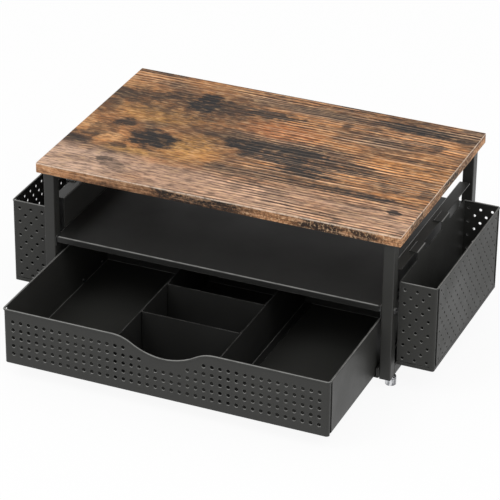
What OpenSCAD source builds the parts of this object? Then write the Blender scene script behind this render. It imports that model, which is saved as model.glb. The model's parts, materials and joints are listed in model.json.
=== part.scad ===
// Desk monitor stand: a board on two welded steel side frames, with a folded shelf,
// a perforated pull-out drawer with dividers, and two perforated baskets hung on the sides.
// Desk surface at z = 0, origin midway between the four feet, +X right, +Y back, +Z up.
// All sizes are in millimetres. The drawer is drawn pulled open by drawer_open.

/* [Board] */
// Width of the board
board_w = 420; // [380:1:480]
// Depth of the board
board_d = 270; // [262:1:330]
// Thickness of the board
board_t = 12; // [9:0.5:18]
// Height of the board's top above the desk
stand_h = 190; // [184:1:240]
// Chamfer along the board's edges
board_chamfer = 0.6; // [0.2:0.1:1.5]

/* [Side frames] */
// Outside width of the square steel tube
tube = 12.7; // [11:0.1:16]
// Wall thickness of the tube
tube_wall = 1.2; // [0.8:0.1:2]
// Radius of the tube's outer corners
tube_corner = 1.2; // [1.2:0.1:3]
// Distance from the board's end to the outer face of a leg
leg_inset_x = 7; // [2:0.5:15]
// Distance from the board's front edge to the front face of a leg
leg_inset_y = 3.5; // [0:0.5:10]
// Height of the frames' underside above the desk
frame_clear = 15; // [13.5:0.5:22]
// Thickness of the plates welded on the tops of the legs
top_plate_t = 2; // [1.5:0.1:4]
// Length of a top plate, from the leg's outer face inwards
top_plate_l = 40; // [34:1:60]
// Thickness of the flange of a leg's plastic end plug
plug_flange = 1.5; // [1:0.1:2.5]
// Depth of a plug inside the tube
plug_depth = 9; // [6:0.5:14]

/* [Feet] */
// Diameter of a foot's round pad
foot_d = 12; // [10:0.5:18]
// Height of the pad
foot_pad_h = 10; // [6:0.5:11]
// Diameter of the screw hole that a foot turns in
foot_bore_d = 6; // [5:0.1:8]
// Wall of the threaded insert round that hole
insert_wall = 1.4; // [1:0.1:2]
// Distance from the leg's front face back to a foot's centre
foot_back = 20; // [19.5:0.5:60]

/* [Shelf] */
// Height of the shelf's top above the desk
shelf_top = 103; // [102:0.5:110]
// Thickness of all folded sheet steel
sheet = 1; // [0.8:0.1:1.4]
// Middle radius of a fold in the sheet
fold_r = 1.2; // [0.9:0.1:2]
// Height of the shelf's front and rear lips
shelf_lip = 7; // [5:0.5:9]
// Height of the shelf's side lips, which are bolted to the legs
shelf_side_lip = 12; // [11:0.5:14]
// Height of the basket hangers' top face above the shelf
hanger_rise = 35.5; // [30:0.5:45]
// Free length between a hanger's end and the leg
hanger_gap = 10.5; // [4:0.5:20]

/* [Drawer] */
// Height of the drawer
drawer_h = 65.5; // [60:0.5:70]
// Depth of the drawer from its front face to its back
drawer_d = 250; // [225:1:255]
// Gap between a side of the drawer and the legs
drawer_gap = 4.7; // [4.2:0.1:7]
// How far the drawer stands open as drawn
drawer_open = 132.5; // [0:0.5:165]
// Travel of the drawer from closed to its stops
drawer_travel = 170; // [168:1:185]
// Radius of the drawer's front corners
drawer_corner = 3.4; // [1.6:0.1:6]
// Length of the front's returns behind its round corners
front_wrap = 0.3; // [0.2:0.1:4]
// Open slot between a return and the drawer's side
front_seam = 4.5; // [1:0.5:8]
// Radius of the bead rolled along the drawer's rim
rim_r = 1.2; // [1:0.1:1.5]
// Width of the finger cut-out in the front
wave_w = 118; // [100:1:150]
// Depth of the finger cut-out
wave_depth = 17; // [10:0.5:20]
// Radius of the cut-out's round shoulders
wave_shoulder = 42; // [25:1:60]
// Distance of the lengthwise dividers from the middle
divider_x = 58; // [45:1:80]
// How far the dividers end below the rim
divider_drop = 10; // [4:0.5:15]
// Distance from the drawer's front to the first cross divider
cross_1 = 69; // [55:1:80]
// Distance from the drawer's front to the second cross divider
cross_2 = 135; // [115:1:170]
// Width of the feet and end tabs folded on the dividers
divider_tab = 9; // [6:0.5:14]

/* [Drawer holes] */
// Diameter of the holes in the drawer's front
front_hole_d = 4.2; // [2:0.1:5]
// Bevel round the outer rim of every hole
hole_bevel = 0.4; // [0.2:0.1:0.6]
// Distance between holes along a row
front_pitch_x = 9.2; // [7.5:0.1:14]
// Distance between rows
front_pitch_z = 9.6; // [8:0.1:10]
// Number of rows
front_rows = 5; // [3:1:5]
// Least distance from the first and last hole to the front's ends
front_margin = 10; // [8:0.5:20]
// Height of the lowest row
front_first_row = 12.3; // [8:0.1:14]
// Least distance of a hole's centre below the top edge
front_hole_clear = 12; // [8:0.5:13]

/* [Runners] */
// Height of a drawer runner
runner_h = 11.5; // [10.5:0.5:13]
// Width of the runner's ledge under the drawer
runner_ledge = 14; // [10:0.5:20]
// Width of the lip over the drawer's glide
runner_lip = 3.4; // [2.6:0.1:3.6]
// Height of a runner above the frames' underside
runner_lift = 0.4; // [0:0.1:1.2]
// Least length of a runner behind its rear stop
runner_tail = 11; // [4:0.5:20]
// Running clearance between sliding pieces
slide_gap = 0.3; // [0.2:0.05:0.5]

/* [Baskets] */
// Width of a basket
basket_w = 41.5; // [34:0.5:70]
// Length of a basket, front to back
basket_l = 204; // [170:1:220]
// Height of a basket
basket_h = 100; // [70:1:104]
// How far the basket's rim lies below the top of its hanger
basket_drop = 7.5; // [4:0.5:10]
// Gap between a basket and the legs
basket_gap = 2.8; // [0.6:0.1:4]
// Radius of a basket's outer corners
basket_corner = 2.5; // [2:0.5:8]
// Height of the upturned edge of a basket's floor
basket_skirt = 4; // [3:0.5:8]
// Open groove between that edge and the panels
basket_groove = 0.8; // [0.4:0.1:1.5]
// Height of the floor's inner lip above its edge, which holds the panels
basket_lip = 2.5; // [2:0.5:5]
// Radius of the bead rolled along a basket's rim
basket_rim_r = 1.1; // [0.8:0.1:1.3]
// Length of the end panels' returns behind their round corners
basket_wrap = 0.3; // [0.2:0.1:4]
// Open slot between a return and the outer panel
basket_seam = 5; // [1:0.5:8]
// Distance between the two hooks of a basket
hook_spread = 76; // [50:1:110]
// Width of a hook
hook_w = 24; // [14:1:30]
// Length of a hook's downturned tip
hook_tip = 9; // [6:0.5:14]
// Clearance round a hook in its slot
hook_gap = 0.6; // [0.4:0.1:1]

/* [Basket holes] */
// Diameter of the holes in the baskets
basket_hole_d = 3.2; // [1.6:0.1:4]
// Distance between columns of holes
basket_pitch_y = 6.8; // [5.6:0.1:10]
// Distance between holes in a column
basket_pitch_z = 16.5; // [11:0.5:20]
// Least distance from the first and last column to a panel's ends
basket_margin = 5.6; // [4.5:0.1:12]

/* [Fasteners] */
// Diameter of the screws that hold the shelf
shelf_screw_d = 4; // [3:0.5:5]
// Diameter of their button heads
shelf_head_d = 7.5; // [6:0.5:9]
// Height of their button heads
shelf_head_h = 2.2; // [1.5:0.1:3]
// Distance of these screws below the shelf's top
shelf_screw_drop = 5.8; // [5:0.1:6.5]
// Clearance round a screw in its hole
screw_gap = 0.2; // [0.1:0.05:0.4]
// Diameter of the wood screws in the board
wood_screw_d = 4; // [3:0.5:4.5]
// Length of the wood screws below their heads
wood_screw_l = 10; // [8:0.5:10.5]
// Diameter of the rivets
rivet_d = 3.2; // [2.4:0.1:4]
// Height of a rivet's head
rivet_head_h = 0.9; // [0.6:0.1:1.2]

/* [Hidden] */
$fn = 48;
left = -1;
right = 1;
front = -1;
rear = 1;

steel = [0.21, 0.21, 0.21];
zinc = [0.72, 0.72, 0.74];
chrome = [0.85, 0.85, 0.87];
nylon = [0.12, 0.12, 0.12];
wood = [0.55, 0.36, 0.22];

// How far a cut runs past the face that it opens
over = 1;
// Sides of the circles drawn for punched holes and for wide arcs
hole_sides = 24;
arc_sides = 180;

// Frame planes: leg centres, inner and outer faces
leg_x = board_w / 2 - leg_inset_x - tube / 2;
leg_y = board_d / 2 - leg_inset_y - tube / 2;
in_x = leg_x - tube / 2;
out_x = leg_x + tube / 2;
in_y = leg_y - tube / 2;
face_y = leg_y + tube / 2;
board_z = stand_h - board_t;
leg_top = board_z - top_plate_t;
foot_y = face_y - foot_back;
board_screw_x = out_x - top_plate_l + tube / 2;
insert_d = foot_bore_d + 2 * insert_wall;
insert_flange = 0.8;
tube_bore = tube - 2 * tube_wall;
tube_bore_corner = tube_corner - tube_wall;

// Shelf and hangers
shelf_screw_z = shelf_top - shelf_screw_drop;
screw_hole_d = shelf_screw_d + 2 * screw_gap;
shelf_low = shelf_top - shelf_side_lip;
hanger_top = shelf_top + hanger_rise;
hanger_l = 2 * (in_y - hanger_gap);
nut_h = 3;

// Gap where the beads of two pieces of a rim meet
rim_split = 0.6;

// Runners and drawer
runner_z = frame_clear + runner_lift;
ledge_top = runner_z + sheet;
drawer_z = ledge_top + slide_gap;
drawer_half = in_x - drawer_gap;
glide_l = drawer_d - drawer_travel - sheet - slide_gap;
glide_h = runner_z + runner_h - sheet - slide_gap - drawer_z;
glide_t = in_x - sheet - slide_gap - drawer_half;
rivet_seat = rivet_head_h + slide_gap;
rivet_head_r = rivet_d * 0.9;
divider_h = drawer_h - divider_drop;
front_end = drawer_corner + front_wrap;
tray_start = front_end + front_seam;
rim_start = front_end + rim_split;
rear_stop = -face_y + drawer_d + slide_gap;
runner_end = max(face_y, rear_stop + sheet + runner_tail);

// Finger cut-out: two shoulder arcs and a floor arc that meet without a kink
wave_radii = (wave_w * wave_w / 4 + wave_depth * wave_depth) / (2 * wave_depth);
wave_floor = wave_radii - wave_shoulder;
wave_turn = asin(wave_w / 2 / wave_radii);
shoulder_at = [wave_w / 2, drawer_h - wave_shoulder];
floor_at = [0, drawer_h - wave_depth + wave_floor];

// Baskets
basket_in = out_x + basket_gap;
basket_out = basket_in + basket_w;
basket_top = hanger_top - basket_drop;
basket_z = basket_top - basket_h;
basket_y = -(leg_y - shelf_head_d / 2 - 2 * screw_gap);
panel_z = basket_z + basket_skirt + basket_groove;
panel_h = basket_top - panel_z;
holes_z = basket_z + basket_h / 2;
holes_h = basket_h - 2 * (basket_skirt + basket_lip);
basket_end_y = basket_y + basket_corner + basket_wrap;
basket_rim_z = basket_top - basket_rim_r;
hook_mid = basket_y + basket_l / 2;
hook_z = hanger_top + slide_gap + sheet / 2;

// Draws a right-hand piece on the given side
module on_side(side) {
    mirror([side < 0 ? 1 : 0, 0, 0]) children();
}

// Draws a rear piece at the given end
module on_end(end) {
    mirror([0, end < 0 ? 1 : 0, 0]) children();
}

// Repeats a right rear piece at all four corners
module at_corners() {
    for (side = [left, right])
        for (end = [front, rear])
            on_side(side) on_end(end) children();
}

// Extrudes a profile drawn in (x, z) along Y, from y0 over a length
module along_y(y0, length) {
    translate([0, y0 + length, 0]) rotate([90, 0, 0]) linear_extrude(length) children();
}

// Extrudes a profile drawn in (y, z) along X, from x0 over a length
module along_x(x0, length) {
    translate([x0, 0, 0]) rotate([90, 0, 90]) linear_extrude(length) children();
}

// A cylinder along +X that starts at the given point
module rod_x(at, d, length) {
    translate(at) rotate([0, 90, 0]) cylinder(d = d, h = length);
}

function unit(v) = v / norm(v);

// Section of a folded sheet: a run of straight stretches along its middle line, with round folds
module folded(points, r = fold_r, t = sheet) {
    last = len(points) - 1;
    for (i = [0 : last - 1]) {
        u = unit(points[i + 1] - points[i]);
        from = points[i] + (i > 0 ? r : 0) * u;
        to = points[i + 1] - (i < last - 1 ? r : 0) * u;
        n = [-u[1], u[0]] * t / 2;
        polygon([from - n, to - n, to + n, from + n]);
    }
    for (i = [1 : last - 1]) {
        u = unit(points[i] - points[i - 1]);
        v = unit(points[i + 1] - points[i]);
        reach = 2 * (r + t);
        translate(points[i] - r * u + r * v) intersection() {
            difference() {
                circle(r + t / 2);
                circle(r - t / 2);
            }
            polygon([[0, 0], -v * reach, (u - v) * reach, u * reach]);
        }
    }
}

// Round bead along right-angled runs in the plane z = 0, with round corners
module bead(points, r, corner = 0) {
    last = len(points) - 1;
    for (i = [0 : last - 1]) {
        u = unit(points[i + 1] - points[i]);
        from = points[i] + (i > 0 ? corner : 0) * u;
        to = points[i + 1] - (i < last - 1 ? corner : 0) * u;
        translate(from) rotate([0, 90, atan2(u[1], u[0])]) cylinder(r = r, h = norm(to - from));
    }
    if (last > 1) for (i = [1 : last - 1]) {
        u = unit(points[i] - points[i - 1]);
        v = unit(points[i + 1] - points[i]);
        start = u[0] * v[1] > u[1] * v[0] ? -v : u;
        translate(points[i] + corner * (v - u)) rotate(atan2(start[1], start[0]))
            rotate_extrude(angle = 90) translate([corner, 0]) circle(r);
    }
}

// Hole through a sheet that lies below z = 0, with a bevel round its rim at z = 0
module punched_hole(d) {
    translate([0, 0, -sheet - over]) cylinder(d = d, h = sheet + 2 * over, $fn = hole_sides);
    translate([0, 0, -hole_bevel])
        cylinder(d1 = d, d2 = d + 4 * hole_bevel, h = 2 * hole_bevel, $fn = hole_sides);
}

// Square about the origin, with round corners where r leaves room for them
module rounded_square(w, r) {
    if (r <= 0) square(w, center = true);
    else {
        square([w, w - 2 * r], center = true);
        square([w - 2 * r, w], center = true);
        for (x = [r - w / 2, w / 2 - r])
            for (y = [r - w / 2, w / 2 - r]) translate([x, y]) circle(r);
    }
}

// Square steel tube standing on z = 0
module tube_length(length) {
    linear_extrude(length) difference() {
        rounded_square(tube, tube_corner);
        rounded_square(tube_bore, tube_bore_corner);
    }
}

// Rectangle with its four corners cut off
module chamfered_rectangle(w, h, c) {
    x = w / 2;
    y = h / 2;
    polygon([
        [-x + c, -y], [x - c, -y], [x, -y + c], [x, y - c],
        [x - c, y], [-x + c, y], [-x, y - c], [-x, -y + c]
    ]);
}

// Board with chamfered edges and pilot holes for its screws
module desktop_board() {
    middle = board_z + board_t / 2;
    color(wood) difference() {
        intersection() {
            translate([0, 0, middle]) along_y(-board_d / 2, board_d)
                chamfered_rectangle(board_w, board_t, board_chamfer);
            translate([0, 0, middle]) along_x(-board_w / 2, board_w)
                chamfered_rectangle(board_d, board_t, board_chamfer);
            translate([0, 0, board_z]) linear_extrude(board_t)
                chamfered_rectangle(board_w, board_d, board_chamfer);
        }
        at_corners() translate([board_screw_x, leg_y, board_z - over])
            cylinder(d = wood_screw_d + 2 * screw_gap, h = wood_screw_l - top_plate_t + screw_gap + over);
    }
}

// Leg of square tube, drilled for the shelf's screw
module leg(side, end) {
    color(steel) on_side(side) on_end(end) difference() {
        translate([leg_x, leg_y, frame_clear + plug_flange]) tube_length(leg_top - frame_clear - plug_flange);
        rod_x([in_x - over, leg_y, shelf_screw_z], screw_hole_d, tube + 2 * over);
    }
}

// Rail between two legs, drilled from below for the threaded inserts of the feet
module bottom_rail(side) {
    color(steel) on_side(side) difference() {
        translate([leg_x, -in_y, frame_clear + tube / 2]) rotate([-90, 0, 0]) tube_length(2 * in_y);
        for (end = [front, rear])
            translate([leg_x, end * foot_y, frame_clear - over])
                cylinder(d = insert_d + 2 * screw_gap, h = tube_wall + 2 * over);
    }
}

// Plate on the top of a leg, which carries the board and takes one wood screw
module top_plate(side, end) {
    color(steel) on_side(side) on_end(end) translate([0, 0, leg_top])
        linear_extrude(top_plate_t) difference() {
            union() {
                translate([leg_x, leg_y]) rounded_square(tube, tube_corner);
                translate([board_screw_x, leg_y - tube / 2]) square([leg_x - board_screw_x, tube]);
                translate([board_screw_x, leg_y]) circle(d = tube);
            }
            translate([board_screw_x, leg_y]) circle(d = wood_screw_d + 2 * screw_gap);
        }
}

// Pan-head wood screw, head down, with a cross recess
module wood_screw() {
    head_r = wood_screw_d;
    head_h = wood_screw_d * 0.6;
    tip_h = wood_screw_d * 0.75;
    tip_d = wood_screw_d * 0.15;
    slot_l = wood_screw_d * 0.9;
    slot_w = wood_screw_d * 0.25;
    slot_depth = head_h / 2;
    difference() {
        union() {
            translate([0, 0, -head_h]) rotate_extrude() polygon([
                [0, 0], [head_r * 0.7, 0], [head_r, head_h / 2], [head_r, head_h], [0, head_h]
            ]);
            cylinder(d = wood_screw_d, h = wood_screw_l - tip_h);
            translate([0, 0, wood_screw_l - tip_h]) cylinder(d1 = wood_screw_d, d2 = tip_d, h = tip_h);
        }
        for (turn = [0, 90]) rotate(turn)
            translate([-slot_l / 2, -slot_w / 2, -head_h - over]) cube([slot_l, slot_w, slot_depth + over]);
    }
}

module board_screws() {
    color(zinc) at_corners() translate([board_screw_x, leg_y, leg_top]) wood_screw();
}

// Plugs that close the lower ends of the legs
module leg_end_plugs() {
    sleeve = tube_bore - 2 * screw_gap;
    sleeve_wall = 2;
    color(nylon) at_corners() translate([leg_x, leg_y, frame_clear]) {
        linear_extrude(plug_flange) rounded_square(tube, tube_corner);
        linear_extrude(plug_flange + plug_depth) difference() {
            rounded_square(sleeve, tube_bore_corner);
            square(sleeve - 2 * sleeve_wall, center = true);
        }
    }
}

// Flanged threaded inserts set into the underside of the bottom rails
module foot_inserts() {
    insert_h = tube - 2 * tube_wall;
    flange_d = insert_d + 2 * insert_wall;
    color(zinc) at_corners() translate([leg_x, foot_y, frame_clear]) difference() {
        union() {
            translate([0, 0, -insert_flange]) cylinder(d = flange_d, h = insert_flange);
            cylinder(d = insert_d, h = insert_h);
        }
        translate([0, 0, -insert_flange - over])
            cylinder(d = foot_bore_d, h = insert_flange + insert_h + 2 * over);
    }
}

// Levelling foot: a round pad with a groove, and the screw that turns in the insert
module foot(side, end) {
    r = foot_d / 2;
    screw_r = foot_bore_d / 2 - slide_gap;
    screw_top = frame_clear + tube - 2 * tube_wall;
    collar_z = foot_pad_h * 0.8;
    groove = foot_d * 0.06;
    edge = foot_d * 0.05;
    color(chrome) on_side(side) on_end(end) translate([leg_x, foot_y, 0]) rotate_extrude() polygon([
        [0, 0], [r, 0], [r, collar_z - groove], [r - groove, collar_z - groove], [r - groove, collar_z],
        [r, collar_z], [r, foot_pad_h - edge], [r - edge, foot_pad_h],
        [screw_r, foot_pad_h], [screw_r, screw_top - edge], [screw_r - edge, screw_top], [0, screw_top]
    ]);
}

// Shelf folded from one sheet, with a lip turned down on all four sides
module shelf_tray() {
    half = sheet / 2;
    top = shelf_top - half;
    low = shelf_top - shelf_lip;
    edge = face_y - half;
    color(steel) difference() {
        union() {
            along_x(2 * fold_r - in_x, 2 * (in_x - 2 * fold_r)) folded([
                [-edge, low], [-edge, top], [edge, top], [edge, low]
            ]);
            for (side = [left, right]) on_side(side)
                along_y(-face_y, 2 * face_y) folded([
                    [in_x - 3 * fold_r, top], [in_x - half, top], [in_x - half, shelf_low]
                ]);
        }
        at_corners() rod_x([in_x - sheet - over, leg_y, shelf_screw_z], screw_hole_d, sheet + 2 * over);
        at_hanger_rivets() rivet_hole();
    }
}

// Button-head screws through the legs into the shelf's side lips
module shelf_screws() {
    r = shelf_head_d / 2;
    socket_d = shelf_screw_d * 0.7;
    tail = shelf_screw_d / 4;
    length = tube + sheet + nut_h + tail;
    color(zinc) at_corners() translate([out_x, leg_y, shelf_screw_z]) rotate([0, 90, 0]) difference() {
        union() {
            rotate_extrude() polygon([
                [0, 0], [r, 0], [r, shelf_head_h * 0.35], [r * 0.8, shelf_head_h * 0.8],
                [r * 0.55, shelf_head_h], [0, shelf_head_h]
            ]);
            translate([0, 0, -length]) cylinder(d = shelf_screw_d, h = length);
        }
        translate([0, 0, shelf_head_h * 0.4]) cylinder(d = socket_d, h = shelf_head_h, $fn = 6);
    }
}

// Hexagon nuts behind the shelf's side lips
module shelf_nuts() {
    nut_x = in_x - sheet - nut_h;
    color(zinc) at_corners() difference() {
        translate([nut_x, leg_y, shelf_screw_z]) rotate([0, 90, 0])
            cylinder(d = shelf_screw_d * 2, h = nut_h, $fn = 6);
        rod_x([nut_x - over, leg_y, shelf_screw_z], shelf_screw_d + screw_gap, nut_h + 2 * over);
    }
}

// The three rivets that hold each hanger to the shelf's side lip, origin on the lip's outer face
module at_hanger_rivets() {
    spread = hanger_l * 0.37;
    for (side = [left, right])
        for (y = [-spread, 0, spread])
            on_side(side) translate([in_x, y, shelf_screw_z]) children();
}

// Clearance hole for a rivet through one sheet on either side of its origin
module rivet_hole() {
    rod_x([-sheet - over, 0, 0], rivet_d + 2 * screw_gap, 2 * (sheet + over));
}

// Hanger: a plate riveted to the shelf's side, with a ledge folded outwards and slotted for the hooks
module hanger(side) {
    half = sheet / 2;
    slot_w = sheet + 2 * hook_gap;
    slot_l = hook_w + 2 * hook_gap;
    color(steel) difference() {
        on_side(side) along_y(-hanger_l / 2, hanger_l) folded([
            [in_x + half, shelf_low], [in_x + half, hanger_top - half], [out_x, hanger_top - half]
        ]);
        on_side(side) at_hooks()
            translate([leg_x - slot_w / 2, -slot_l / 2, hanger_top - sheet - over])
                cube([slot_w, slot_l, sheet + 2 * over]);
        at_hanger_rivets() rivet_hole();
    }
}

// Dome-headed rivet along +X, with a plain tail that stands out at the far end
module rivet(grip) {
    r = rivet_d / 2;
    tail = rivet_d * 0.4;
    translate([grip, 0, 0]) rotate([0, 90, 0]) rotate_extrude() polygon([
        [0, 0], [rivet_head_r, 0], [rivet_head_r * 0.85, rivet_head_h * 0.7],
        [r, rivet_head_h], [0, rivet_head_h]
    ]);
    rod_x([-tail, 0, 0], rivet_d, grip + tail);
    rod_x([-tail, 0, 0], rivet_d * 1.4, tail);
}

module hanger_rivets() {
    color(steel) at_hanger_rivets() translate([-sheet, 0, 0]) rivet(2 * sheet);
}

// Drawer runner: a channel with a wide ledge, a narrow lip and two tabs that stop the drawer's glide
module runner(side) {
    half = sheet / 2;
    web = in_x - half;
    low = runner_z + half;
    high = runner_z + runner_h - half;
    tab_w = runner_lip - sheet;
    tab_z = drawer_z + slide_gap;
    tab_h = glide_h - 2 * slide_gap;
    color(steel) on_side(side) {
        along_y(-face_y, runner_end + face_y) folded([
            [in_x - runner_ledge, low], [web, low], [web, high], [in_x - runner_lip, high]
        ]);
        for (y = [-face_y, rear_stop])
            translate([in_x - sheet - tab_w, y, tab_z]) cube([tab_w + half, sheet, tab_h]);
    }
}

// Moves the drawer's own frame, with its front face at y = 0 and its underside at z = 0, into place
module at_drawer() {
    translate([0, -face_y - drawer_open, drawer_z]) children();
}

// Drawer tray folded from one sheet: floor, two sides and back, with a bead rolled along the rim
module drawer_tray() {
    half = sheet / 2;
    side_x = drawer_half - half;
    back_y = drawer_d - half;
    wall_h = drawer_h - rim_r;
    depth = drawer_d - tray_start;
    floor_x = drawer_half - drawer_corner;
    slot_x = drawer_half - fold_r;
    color(steel) at_drawer() difference() {
        union() {
            along_y(tray_start, depth) folded([
                [-side_x, wall_h], [-side_x, half], [side_x, half], [side_x, wall_h]
            ]);
            along_x(-drawer_half, 2 * drawer_half) folded([
                [back_y - 3 * fold_r, half], [back_y, half], [back_y, wall_h]
            ]);
            translate([-floor_x, sheet, 0]) cube([2 * floor_x, tray_start, sheet]);
            translate([-slot_x, rim_start, 0]) cube([2 * slot_x, front_seam, sheet]);
            translate([0, 0, wall_h]) {
                bead([[-drawer_half, drawer_d], [drawer_half, drawer_d]], rim_r);
                for (side = [left, right]) {
                    bead([[side * drawer_half, rim_start], [side * drawer_half, drawer_d]], rim_r);
                    translate([side * drawer_half, drawer_d, 0]) sphere(rim_r);
                }
            }
        }
        at_glide_rivets() rivet_hole();
    }
}

// Height of the drawer front's top edge at a distance from its middle
function front_edge(x) = let (a = abs(x), floor_reach = wave_floor * sin(wave_turn))
    a >= wave_w / 2 ? drawer_h
    : a > floor_reach ? shoulder_at[1] + sqrt(pow(wave_shoulder, 2) - pow(wave_w / 2 - a, 2))
    : floor_at[1] - sqrt(pow(wave_floor, 2) - a * a);

// What the finger cut-out takes from the front's sheet, down to the middle of the bead
module wave_cut() {
    floor_r = wave_floor + rim_r;
    meet_x = floor_r * sin(wave_turn);
    meet_z = floor_at[1] - floor_r * cos(wave_turn);
    difference() {
        polygon([[-wave_w / 2, drawer_h], [-meet_x, meet_z], [meet_x, meet_z], [wave_w / 2, drawer_h]]);
        for (side = [left, right])
            translate([side * shoulder_at[0], shoulder_at[1]]) circle(wave_shoulder - rim_r, $fn = arc_sides);
    }
    intersection() {
        translate(floor_at) circle(floor_r, $fn = arc_sides);
        translate([-meet_x, meet_z - floor_r]) square([2 * meet_x, floor_r + over]);
    }
}

// The bead round the finger cut-out: arcs that meet without a kink, with a ball where they join
module wave_bead() {
    floor_r = wave_floor + rim_r;
    ball_r = rim_r * 1.05;
    rotate([90, 0, 0]) {
        for (side = [left, right]) on_side(side) {
            translate(shoulder_at) rotate(90) rotate_extrude(angle = wave_turn, $fn = arc_sides)
                translate([wave_shoulder - rim_r, 0]) circle(rim_r);
            translate([floor_r * sin(wave_turn), floor_at[1] - floor_r * cos(wave_turn)]) sphere(ball_r);
        }
        translate(floor_at) rotate(-90 - wave_turn) rotate_extrude(angle = 2 * wave_turn, $fn = arc_sides)
            translate([floor_r, 0]) circle(rim_r);
    }
}

// Where the rows of holes lie on the drawer's front, but none where the finger cut-out comes near
module at_front_holes() {
    columns = floor(2 * (drawer_half - front_margin) / front_pitch_x);
    for (i = [0 : columns])
        for (j = [0 : front_rows - 1]) {
            x = (i - columns / 2) * front_pitch_x;
            z = front_first_row + j * front_pitch_z;
            if (z <= front_edge(x) - front_hole_clear) translate([x, z]) children();
        }
}

// Perforated drawer front, folded round its corners, with a bead rolled along its rim and cut-out
module drawer_front() {
    half = sheet / 2;
    side_x = drawer_half - half;
    color(steel) at_drawer() {
        difference() {
            linear_extrude(drawer_h - rim_r) folded([
                [-side_x, front_end], [-side_x, half], [side_x, half], [side_x, front_end]
            ], drawer_corner - half);
            translate([0, sheet + over, 0]) rotate([90, 0, 0]) linear_extrude(sheet + 2 * over) wave_cut();
            rotate([90, 0, 0]) at_front_holes() punched_hole(front_hole_d);
        }
        translate([0, 0, drawer_h - rim_r]) for (side = [left, right]) on_side(side)
            bead([[wave_w / 2, 0], [drawer_half, 0], [drawer_half, front_end]], rim_r, drawer_corner);
        wave_bead();
    }
}

// Lengthwise divider with a foot folded along the drawer's floor
module lengthwise_divider(side) {
    half = sheet / 2;
    length = drawer_d - 2 * sheet - fold_r;
    color(steel) at_drawer() on_side(side) along_y(sheet, length) folded([
        [divider_x + divider_tab, sheet + half], [divider_x, sheet + half], [divider_x, divider_h]
    ]);
}

// Cross divider between the lengthwise ones, with an end tab folded along each of them
module cross_divider(y) {
    half = sheet / 2;
    end_x = divider_x - sheet;
    color(steel) at_drawer() translate([0, y, sheet]) linear_extrude(divider_h - sheet) folded([
        [-end_x, divider_tab], [-end_x, half], [end_x, half], [end_x, divider_tab]
    ]);
}

// The two rivets that hold each glide, origin on the outer face of the drawer's side
module at_glide_rivets() {
    for (side = [left, right])
        for (share = [0.2, 0.8])
            on_side(side) translate([drawer_half, drawer_d - glide_l * share, glide_h / 2]) children();
}

// Plastic glide at the rear of a drawer side, which runs in the channel and meets the stops
module glide(side) {
    nose = glide_t * 0.4;
    color(nylon) at_drawer() difference() {
        on_side(side) translate([drawer_half, drawer_d - glide_l, 0]) linear_extrude(glide_h) polygon([
            [0, 0], [glide_t - nose, 0], [glide_t, nose], [glide_t, glide_l - nose],
            [glide_t - nose, glide_l], [0, glide_l]
        ]);
        at_glide_rivets() {
            rod_x([-over, 0, 0], rivet_d + 2 * screw_gap, glide_t + 2 * over);
            rod_x([glide_t - rivet_seat, 0, 0], 2 * (rivet_head_r + screw_gap), rivet_seat + over);
        }
    }
}

module glide_rivets() {
    color(steel) at_drawer() at_glide_rivets() translate([-sheet, 0, 0]) rivet(sheet + glide_t - rivet_seat);
}

// Where the hooks of the right-hand basket stand, along Y
module at_hooks() {
    for (y = [hook_mid - hook_spread / 2, hook_mid + hook_spread / 2])
        translate([0, y, 0]) children();
}

// Where the staggered holes lie on a basket panel of the given width, about its middle
module at_basket_holes(w) {
    columns = floor((w - 2 * basket_margin) / basket_pitch_y);
    rows = floor((holes_h - basket_hole_d - 2 * hole_bevel) / basket_pitch_z);
    for (i = [0 : columns]) {
        steps = rows - i % 2;
        for (j = [0 : steps])
            translate([(i - columns / 2) * basket_pitch_y, (j - steps / 2) * basket_pitch_z]) children();
    }
}

// Perforated end panel of a basket, folded round its corner, with a bead along its rim
module basket_panel(side, end) {
    half = sheet / 2;
    mid_x = basket_out - half;
    mid_y = basket_y + half;
    flat_w = basket_w - basket_corner;
    flip = end == front ? 0 : 1;
    color(steel) on_side(side) translate([0, flip * 2 * hook_mid, 0]) mirror([0, flip, 0]) {
        difference() {
            translate([0, 0, panel_z]) linear_extrude(panel_h - basket_rim_r) folded([
                [basket_in, mid_y], [mid_x, mid_y], [mid_x, basket_end_y]
            ], basket_corner - half);
            translate([basket_in + flat_w / 2, basket_y, holes_z]) rotate([90, 0, 0])
                at_basket_holes(flat_w) punched_hole(basket_hole_d);
        }
        translate([0, 0, basket_rim_z])
            bead([[basket_in + sheet, mid_y], [mid_x, mid_y], [mid_x, basket_end_y]],
                basket_rim_r, basket_corner - half);
    }
}

// Perforated outer panel of a basket, with a bead along its rim
module basket_outer(side) {
    start = basket_end_y + basket_seam;
    flat_l = 2 * (hook_mid - start);
    rim_from = basket_end_y + rim_split;
    rim_to = 2 * hook_mid - rim_from;
    mid_x = basket_out - sheet / 2;
    color(steel) on_side(side) {
        difference() {
            translate([basket_out - sheet, start, panel_z]) cube([sheet, flat_l, panel_h - basket_rim_r]);
            translate([basket_out, hook_mid, holes_z]) rotate([90, 0, 90])
                at_basket_holes(flat_l) punched_hole(basket_hole_d);
        }
        translate([0, 0, basket_rim_z]) bead([[mid_x, rim_from], [mid_x, rim_to]], basket_rim_r);
    }
}

// Inner plate of a basket, with two hooks folded over the hanger's ledge
module basket_hook_plate(side) {
    half = sheet / 2;
    plate_x = basket_in + half;
    color(steel) on_side(side) {
        translate([basket_in, basket_y + sheet, panel_z]) cube([sheet, basket_l - 2 * sheet, panel_h]);
        at_hooks() along_y(-hook_w / 2, hook_w) folded([
            [plate_x, basket_top - over], [plate_x, hook_z], [leg_x, hook_z], [leg_x, hook_z - hook_tip]
        ]);
    }
}

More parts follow.
